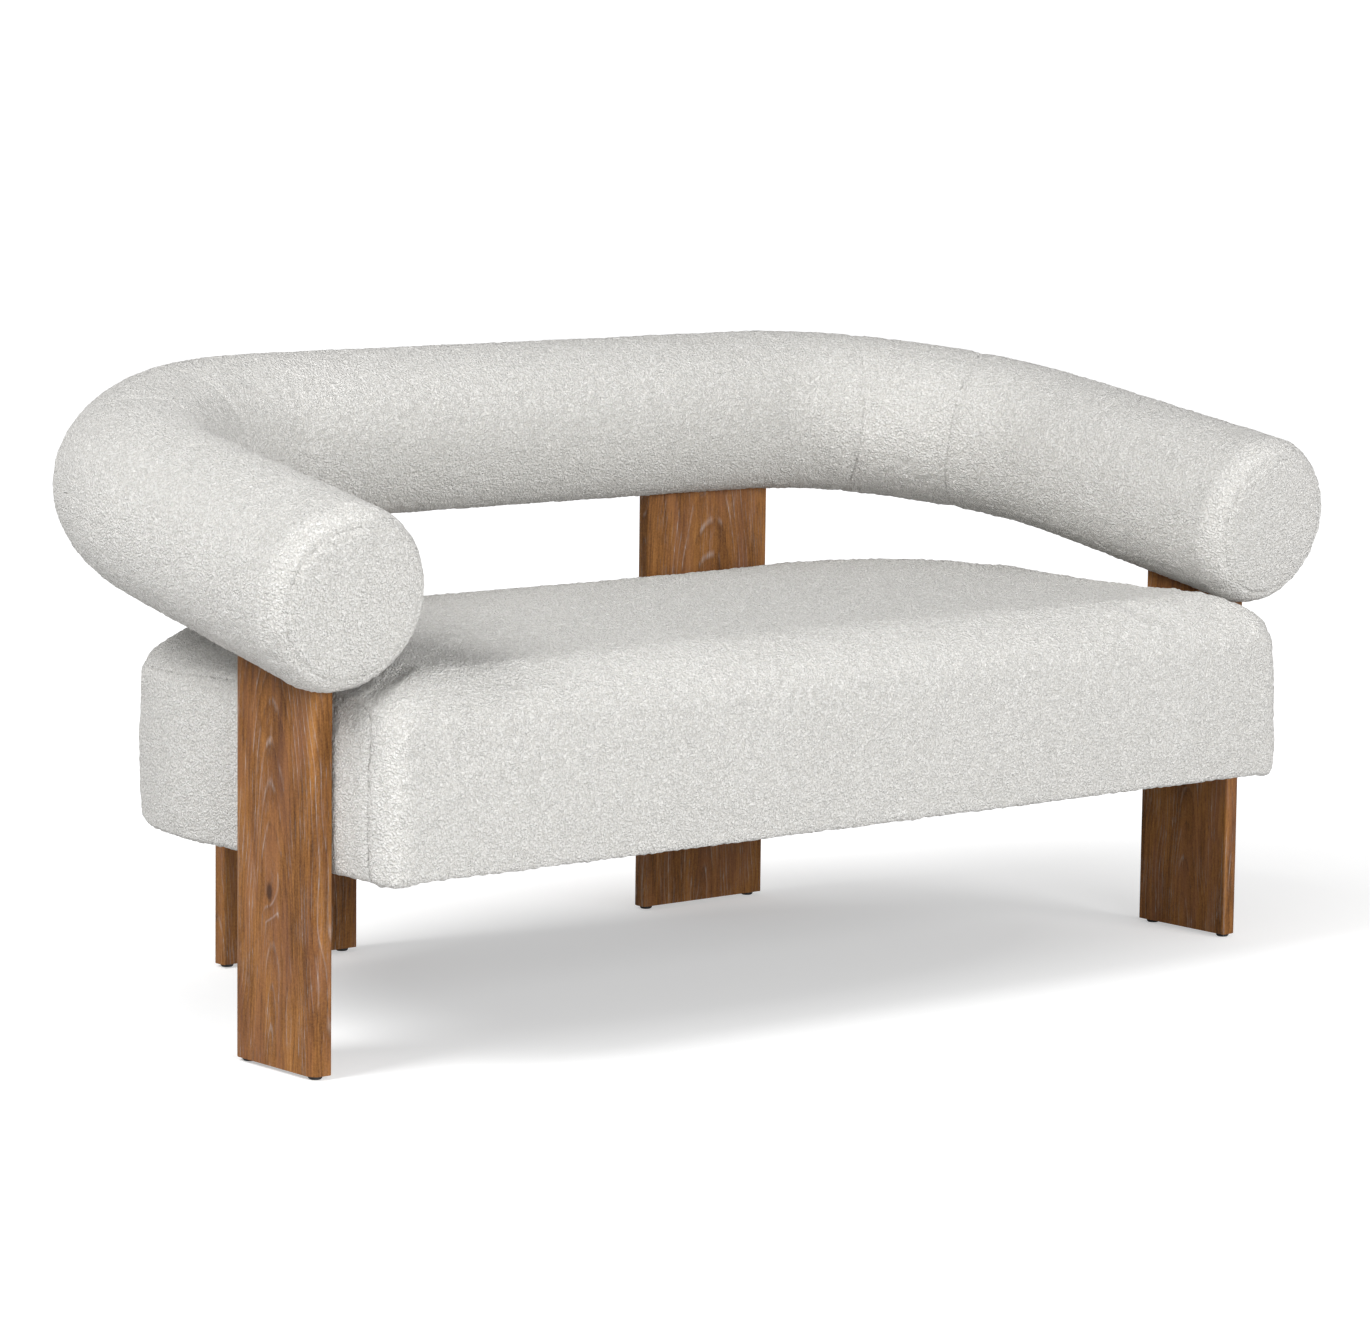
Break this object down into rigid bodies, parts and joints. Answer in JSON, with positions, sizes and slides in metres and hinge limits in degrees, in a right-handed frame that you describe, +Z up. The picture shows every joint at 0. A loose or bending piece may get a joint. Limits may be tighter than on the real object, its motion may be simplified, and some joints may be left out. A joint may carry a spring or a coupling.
{
  "type": "two-seat sofa",
  "caption": "Low two-seat sofa with a D-shaped upholstered seat and a round bolster that wraps the back and arms, carried on flat wooden board legs.",
  "frame": {"origin": "on the floor under the middle of the sofa's outer box", "axes": "+X towards the right end seen from the front, +Y towards the back, +Z up"},
  "size_m": [1.5582, 0.75, 0.7098],
  "materials": {
    "boucle": "off-white boucle, looped pile, matte",
    "oak": "wire-brushed mid-brown oak with a satin finish",
    "pine": "planed softwood, unfinished",
    "foam": "open-cell upholstery foam",
    "wadding": "white polyester wadding",
    "felt": "grey needled felt",
    "webbing": "black elastic webbing",
    "dust_cloth": "black spun-bonded dust cloth",
    "glide_plastic": "black nylon, moulded",
    "zinc_steel": "bright zinc plate",
    "brass_insert": "machined, plain"
  },
  "bodies": {
    "root": {"front_left_leg": "oak", "front_right_leg": "oak", "rear_left_leg": "oak", "rear_right_leg": "oak", "front_left_glides": "glide_plastic", "front_right_glides": "glide_plastic", "rear_left_glides": "glide_plastic", "rear_right_glides": "glide_plastic", "front_rail": "pine", "back_rail": "pine", "left_rail": "pine", "right_rail": "pine", "left_bent_rail": "pine", "right_bent_rail": "pine", "left_cross_rail": "pine", "right_cross_rail": "pine", "corner_blocks": "pine", "rail_dowels": "pine", "webbing_straps": "webbing", "webbing_cross_straps": "webbing", "seat_deck_felt": "felt", "seat_foam": "foam", "seat_wadding": "wadding", "seat_top_cover": "boucle", "seat_left_cover": "boucle", "seat_right_cover": "boucle", "dust_cover": "dust_cloth", "back_core": "pine", "left_bent_core": "pine", "right_bent_core": "pine", "left_arm_core": "pine", "right_arm_core": "pine", "core_dowels": "pine", "leg_dowels": "pine", "back_foam": "foam", "left_corner_foam": "foam", "right_corner_foam": "foam", "left_arm_foam": "foam", "right_arm_foam": "foam", "back_cover": "boucle", "left_gusset_cover": "boucle", "right_gusset_cover": "boucle", "left_arm_cover": "boucle", "right_arm_cover": "boucle", "left_end_cover": "boucle", "right_end_cover": "boucle", "leg_bolts": "zinc_steel", "leg_washers": "zinc_steel", "leg_inserts": "brass_insert"}
  },
  "joints": []
}
